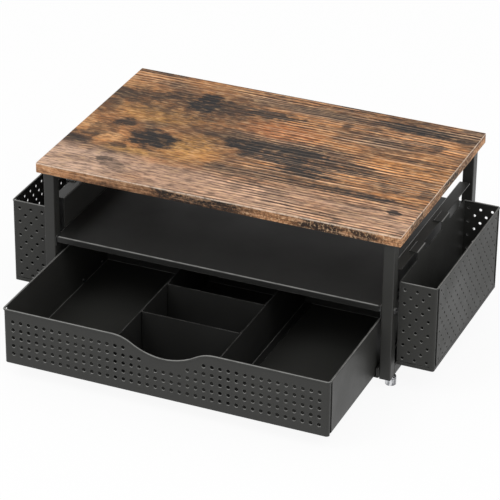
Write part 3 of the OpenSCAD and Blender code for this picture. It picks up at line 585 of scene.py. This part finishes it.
# %% Laminate: charred patches
# Centre x and y, half lengths, turn in degrees, depth of the mark
BURNT = (
    (-0.102, 0.077, 0.019, 0.026, 0, 1.00), (-0.104, 0.068, 0.016, 0.012, 0, 1.00),
    (-0.070, 0.078, 0.024, 0.018, 0, 0.72), (-0.022, 0.080, 0.040, 0.010, 0, 0.90),
    (-0.136, 0.084, 0.024, 0.010, 0, 0.70), (-0.184, 0.068, 0.034, 0.018, 0, 0.62),
    (-0.092, 0.040, 0.016, 0.010, 0, 0.55), (-0.062, 0.016, 0.038, 0.015, -10, 0.45),
    (-0.200, 0.030, 0.012, 0.024, 0, 0.50), (-0.164, -0.003, 0.013, 0.011, 0, 0.92),
    (-0.180, -0.026, 0.018, 0.015, 0, 0.65), (-0.195, -0.053, 0.020, 0.015, 20, 0.80),
    (-0.120, -0.029, 0.030, 0.022, 0, 0.98), (-0.148, -0.059, 0.010, 0.006, 0, 0.75),
    (-0.146, -0.095, 0.010, 0.007, 0, 0.75), (-0.131, -0.107, 0.018, 0.010, -20, 0.50),
    (0.012, 0.000, 0.066, 0.014, 0, 1.00), (0.018, -0.010, 0.042, 0.021, 0, 1.00),
    (0.044, -0.026, 0.042, 0.016, -20, 1.00), (0.094, -0.008, 0.046, 0.013, 0, 0.85),
    (0.142, 0.110, 0.050, 0.009, -2, 1.00), (0.040, 0.107, 0.060, 0.007, 0, 0.50),
    (0.174, 0.077, 0.010, 0.008, 0, 0.80), (0.064, 0.087, 0.008, 0.007, 0, 0.75),
    (0.142, 0.067, 0.036, 0.009, 0, 0.50), (0.158, 0.036, 0.032, 0.005, 0, 0.55),
    (0.125, -0.063, 0.040, 0.006, 0, 0.92), (0.050, -0.060, 0.084, 0.013, 0, 0.60),
    (0.184, -0.087, 0.007, 0.006, 0, 0.92), (0.203, -0.035, 0.010, 0.012, 0, 0.72),
    (0.008, -0.092, 0.011, 0.012, 0, 0.42), (0.052, -0.102, 0.013, 0.020, 0, 0.38),
    (-0.177, 0.131, 0.042, 0.006, 0, 0.75), (0.110, 0.129, 0.070, 0.005, -2, 0.60),
)
CHAR_COLOUR, CHAR_SOFT, CHAR_BROKEN = paint(31, 29, 29), 0.5, (0.46, 0.68, 1.0, 0.50)
FRAY_GRAIN, FRAY_FINE, FRAY_CLOUD = 1.3, 0.9, 1.9
FRAY_NOISE = ((42.0, 75.0, 1.0), 6.0, 0.7)
SMUDGE, SMUDGED = ((17.0, 44.0, 1.0), 5.0, 0.65), (0.53, 0.66)
SMUDGE_SHARE = (-0.09, 0.03, 0.4, 0.7)

streaks = swing(tree, fibres["Ridge"], times(tree, ridged, FRAY_GRAIN))
clouds = swing(tree, noise(tree, place, *FRAY_NOISE), FRAY_CLOUD)
fray = maths(tree, "ADD", maths(tree, "ADD", streaks, clouds), swing(tree, fine, FRAY_FINE))
char = deepest(tree, [(zone(tree, place, *patch, fray, CHAR_SOFT, degrees), depth)
                      for *patch, degrees, depth in BURNT])
smudged = times(tree, between(tree, noise(tree, place, *SMUDGE), *SMUDGED),
                between(tree, rightwards, *SMUDGE_SHARE))
char = times(tree, greater(tree, char, smudged), between(tree, fine, *CHAR_BROKEN))
colour = mix(tree, char, colour, CHAR_COLOUR)
print("charred patches", len(BURNT))

# %% [markdown]
# ## Laminate: painted highlights and relief
# The embossing catches light on its slopes and on the crests between the saw marks, and these highlights are
# painted into the colour as light lines. These lines come last, over the charring too, but weaker there. The
# ridges and fibres also lift the surface a little by a bump, so that the shine breaks up from every side.

# %% Laminate: painted highlights and relief
LIT, LIT_SHARE, SLOPE_HIGHLIGHT_COLOUR = (0.04, 0.16), (0.2, 0.9, 0.45, 0.2), paint(228, 190, 156)
CREST, CREST_SHARE = (0.55, 0.95), (0.2, 0.9, 1.0, 0.45)
CREST_GAIN, CREST_PALE, CREST_HIGHLIGHT_COLOUR = (1.68, 1.62, 1.55, 1.0), 0.08, paint(228, 200, 178)
TOP_ROUGH, BOARD_GLOSS = (0.3, 0.7, 0.66, 0.5), 0.15
FIBRE_LIFT, TOP_BUMP, TOP_DEPTH = 0.5, 0.5, 0.0008

# Painted highlights on the slopes and crests of the embossing
lit = times(tree, between(tree, fibres["Slope"], *LIT), faded)
colour = mix(tree, times(tree, lit, between(tree, char, *LIT_SHARE)), colour, SLOPE_HIGHLIGHT_COLOUR)
crests = times(tree, between(tree, fibres["Line"], *CREST),
               times(tree, sawn, between(tree, char, *CREST_SHARE)))
lighter = mix(tree, CREST_PALE, mix(tree, 1.0, colour, CREST_GAIN, "MULTIPLY"), CREST_HIGHLIGHT_COLOUR)
feed(tree, shader, mix(tree, crests, colour, lighter), between(tree, fibres["Fibre"], *TOP_ROUGH))
shader.inputs["Specular IOR Level"].default_value = BOARD_GLOSS
relief = maths(tree, "ADD", fibres["Ridge"], times(tree, fibres["Fibre"], FIBRE_LIFT))
emboss(tree, shader, relief, TOP_BUMP, TOP_DEPTH)
print("laminate nodes", len(tree.nodes))

# %% [markdown]
# ## Edge band: tones
# A strip of the same print is glued round the panel. Its grain runs along the edge too, so it needs its own
# coordinates: the way along the edge, which is x plus y because one of them is constant on each side, and the
# height. Charred stretches are placed one by one, as on the top.

# %% Edge band: tones
# Charred stretches: place along the edge, half length, depth of the mark
SCORCHED = ((-0.237, 0.034, 0.45), (-0.157, 0.058, 1.00), (-0.014, 0.027, 1.00), (0.033, 0.016, 0.90),
            (0.126, 0.022, 0.80), (0.188, 0.022, 0.40), (0.229, 0.026, 1.00), (0.270, 0.026, 0.60))
SCORCH_COLOUR, SCORCH_SOFT, SCORCH_BROKEN = paint(36, 34, 33), 0.7, (0.46, 0.66, 1.0, 0.62)
BAND_MIDDLE, BAND_REACH = TOP - 0.006, 0.022
SPECKLE = ((190.0, 260.0, 1.0), 3.0, 0.65)
BAND_CLOUD = ((16.0, 60.0, 1.0), 4.0)
BAND_CLOUD_SHARE, SPECKLE_SHARE = 0.6, 0.4
BAND_FRAY, BAND_FRAYED = ((60.0, 130.0, 1.0), 5.0, 0.7), 1.3
BAND_STOPS = ((0.38, paint(104, 74, 54)), (0.46, paint(156, 112, 78)), (0.53, paint(190, 138, 98)),
              (0.62, paint(222, 176, 134)))

edge_band, tree, shader, place = material("edge_band")
axes = put(tree, "ShaderNodeSeparateXYZ", {0: place}).outputs
distance = maths(tree, "ADD", axes["X"], axes["Y"])
way = put(tree, "ShaderNodeCombineXYZ", {"X": distance, "Y": axes["Z"]}).outputs[0]
speckle = noise(tree, way, *SPECKLE)
tone = maths(tree, "ADD", times(tree, noise(tree, way, *BAND_CLOUD), BAND_CLOUD_SHARE),
             times(tree, speckle, SPECKLE_SHARE))
colour = ramp(tree, tone, BAND_STOPS)
frayed = swing(tree, noise(tree, way, *BAND_FRAY), BAND_FRAYED)
stretches = []
for middle, half, depth in SCORCHED:
    inputs = {"Vector": way, "Centre": (middle, BAND_MIDDLE, 0.0), "Half size": (half, BAND_REACH, 1.0),
              "Fray": frayed, "Soft": SCORCH_SOFT}
    stretches.append((use(tree, patch_shape, inputs)["Mask"], depth))
scorch = times(tree, deepest(tree, stretches), between(tree, speckle, *SCORCH_BROKEN))
colour = mix(tree, scorch, colour, SCORCH_COLOUR)
print("charred stretches", len(SCORCHED))

# %% [markdown]
# ## Edge band: fibres and crackle
# All round, fibres run along the band. From the middle of the front to the right and the back, a crackle of
# dark and light dots lies over them, which another noise gives. The upper edge is rubbed pale and catches the
# light, so a pale line of wear and painted highlight lies there, and the height finds that line.

# %% Edge band: fibres and crackle
BAND_WANDER = 0.003
STRAND_DARK, STRAND_DARK_COLOUR = (0.56, 0.34, 0.0, 0.55), paint(56, 41, 34)
STRAND_LIGHT, STRAND_LIGHT_COLOUR = (0.52, 0.68, 0.0, 0.45), paint(222, 178, 142)
CRACKLE, CRACKLED = ((420.0, 300.0, 1.0), 2.0, 0.6), (-0.125, -0.095, 0.12, 1.0)
CRACK_DARK, CRACK_DARK_COLOUR = (0.50, 0.36, 0.0, 0.55), paint(56, 42, 34)
CRACK_LIGHT, CRACK_LIGHT_COLOUR = (0.53, 0.66, 0.0, 0.5), paint(226, 190, 150)
# The upper edge: wear and a painted highlight
TOP_EDGE_WEAR_AND_HIGHLIGHT, TOP_EDGE_BROKEN = (TOP - 0.0022, TOP - 0.0006, 0.0, 0.85), (0.30, 0.55, 0.3, 1.0)
TOP_EDGE_WEAR_AND_HIGHLIGHT_COLOUR = paint(226, 204, 184)
BAND_ROUGH = (0.3, 0.7, 0.68, 0.54)
BAND_BUMP, BAND_DEPTH = 0.25, 0.0004

strand = use(tree, grain, {"Vector": way, "Wander": BAND_WANDER})["Fibre"]
colour = mix(tree, between(tree, strand, *STRAND_DARK), colour, STRAND_DARK_COLOUR)
colour = mix(tree, between(tree, strand, *STRAND_LIGHT), colour, STRAND_LIGHT_COLOUR)
crackle = noise(tree, way, *CRACKLE)
crackled = between(tree, distance, *CRACKLED)
for marked, mark_colour in ((CRACK_DARK, CRACK_DARK_COLOUR), (CRACK_LIGHT, CRACK_LIGHT_COLOUR)):
    colour = mix(tree, times(tree, between(tree, crackle, *marked), crackled), colour, mark_colour)
# Pale upper edge: wear and a painted highlight
worn_and_highlit = times(tree, between(tree, axes["Z"], *TOP_EDGE_WEAR_AND_HIGHLIGHT), between(tree, speckle, *TOP_EDGE_BROKEN))
colour = mix(tree, worn_and_highlit, colour, TOP_EDGE_WEAR_AND_HIGHLIGHT_COLOUR)
feed(tree, shader, colour, between(tree, speckle, *BAND_ROUGH))
shader.inputs["Specular IOR Level"].default_value = BOARD_GLOSS
emboss(tree, shader, strand, BAND_BUMP, BAND_DEPTH)
print("edge band nodes", len(tree.nodes))

# %% [markdown]
# ## Underside
# Below, a panel like this has a plain backing sheet, brown and slightly flecked. The photo doesn't show it,
# so it stays simple: one fine noise between two browns, with a dull surface.

# %% Underside
FLECK = ((260.0, 260.0, 260.0), 5.0, 0.7)
FLECK_DARK, FLECK_LIGHT = paint(98, 74, 56), paint(140, 106, 80)
UNDERSIDE_ROUGH = (0.3, 0.7, 0.7, 0.85)
underside, tree, shader, place = material("underside")
fleck = noise(tree, place, *FLECK)
feed(tree, shader, mix(tree, fleck, FLECK_DARK, FLECK_LIGHT), between(tree, fleck, *UNDERSIDE_ROUGH))
print("finish", underside.name)

# %% [markdown]
# ## The board
# The board could be the CAD solid with one finish. As a piece of its own it gets rounded edges and three
# finishes: the laminate on top, the band round the edge and the underside. A cube is scaled to the CAD node's
# box, its edges are bevelled, and each face takes the finish that its direction asks for.

# %% The board
EDGE_ROUND, EDGE_STEPS = 0.0010, 4
FACES_UP = 0.6
BOARD_FINISHES = (laminate, edge_band, underside)


def mesh_from(name, shape, finishes):
    """A mesh with its finishes from a bmesh, which is freed."""
    made = bpy.data.meshes.new(name)
    shape.to_mesh(made)
    shape.free()
    for finish in finishes:
        made.materials.append(finish)
    return made


def side_of(face):
    """The place in BOARD_FINISHES that suits a face's direction."""
    if face.normal.z > FACES_UP:
        return BOARD_FINISHES.index(laminate)
    if face.normal.z < -FACES_UP:
        return BOARD_FINISHES.index(underside)
    return BOARD_FINISHES.index(edge_band)


low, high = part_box("desktop_board")
shape = bmesh.new()
bmesh.ops.create_cube(shape, size=1.0)
bmesh.ops.scale(shape, vec=high - low, verts=shape.verts)
bmesh.ops.translate(shape, vec=(low + high) / 2, verts=shape.verts)
bmesh.ops.bevel(shape, geom=shape.edges[:], offset=EDGE_ROUND, affect="EDGES", segments=EDGE_STEPS,
                profile=0.5, material=-1)
for face in shape.faces:
    face.smooth = True
    face.material_index = side_of(face)
board = show("board", mesh_from("board", shape, BOARD_FINISHES))
weighted = board.modifiers.new("even_shading", "WEIGHTED_NORMAL")
weighted.keep_sharp = False
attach(board, "stand")
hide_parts("desktop_board")
print("board faces", len(board.data.polygons))

# %% [markdown]
# ## Floor
# The photo is a cut-out on white. More light would whiten the background, but also wash out the object. So
# the floor glows white only for the camera and for reflections. A small part of what is seen stays matt
# paint, which keeps a soft shadow.

# %% Floor
WHITE = (1.0, 1.0, 1.0, 1.0)
FLOOR_PAINT, FLOOR_GLOW = (0.9, 0.9, 0.9, 1.0), 0.92
FLOOR_HALF, FLOOR_DROP = 6.0, 0.0002


def seen_directly(tree):
    """1 for rays from the camera and for reflected and refracted rays, 0 for diffuse light."""
    rays = put(tree, "ShaderNodeLightPath").outputs
    direct = maths(tree, "ADD", rays["Is Camera Ray"], rays["Is Glossy Ray"])
    return maths(tree, "ADD", direct, rays["Is Transmission Ray"], clamp=True)


floor_paint, tree, shader, place = material("floor_paint")
tree.nodes.remove(shader)
matt = put(tree, "ShaderNodeBsdfDiffuse", {"Color": FLOOR_PAINT}).outputs[0]
glow = put(tree, "ShaderNodeEmission", {"Color": WHITE, "Strength": 1.0}).outputs[0]
glowing = times(tree, seen_directly(tree), FLOOR_GLOW)
shown = put(tree, "ShaderNodeMixShader", {0: glowing, 1: matt, 2: glow}).outputs[0]
tree.links.new(shown, tree.nodes["Material Output"].inputs["Surface"])
shape = bmesh.new()
bmesh.ops.create_grid(shape, x_segments=1, y_segments=1, size=FLOOR_HALF)
bmesh.ops.translate(shape, vec=(0, 0, -FLOOR_DROP), verts=shape.verts)
floor = show("floor", mesh_from("floor", shape, [floor_paint]))
print("floor half width", FLOOR_HALF)

# %% [markdown]
# ## Sky
# An even white sky is the simplest studio. It is seen and reflected as plain white, but as a light it is a
# little weaker, so that the lamps can give the object a lit side.

# %% Sky
SKY_DIFFUSE, SKY_SEEN = 0.80, 1.0
sky = bpy.data.worlds.new("sky")
scene.world = sky
sky.use_nodes = True
tree = sky.node_tree
strength = put(tree, "ShaderNodeMapRange", {0: seen_directly(tree), 3: SKY_DIFFUSE, 4: SKY_SEEN}).outputs[0]
tree.nodes["Background"].inputs["Color"].default_value = WHITE
tree.links.new(strength, tree.nodes["Background"].inputs["Strength"])
print("sky", sky.name)

# %% [markdown]
# ## Lamps
# The sky alone lights every side alike. A large round lamp from the right lights the right-hand faces, and
# another from the front left lifts the front. Large lamps give soft shadows, as studio boxes do.

# %% Lamps
# Name, place, width in metres, power in watts
LAMPS = (("key", (1.5, -0.9, 1.9), 1.2, 11.0), ("fill", (-0.9, -1.4, 1.9), 1.2, 12.0))
AIM = Vector((0.0, -0.05, 0.1))
for name, place, width, watts in LAMPS:
    lamp = show(name, bpy.data.lights.new(name, "AREA"))
    lamp.data.shape = "DISK"
    lamp.data.size = width
    lamp.data.energy = watts
    lamp.location = place
    lamp.rotation_euler = (AIM - Vector(place)).to_track_quat("-Z", "Y").to_euler()
print("lamps", len(LAMPS))
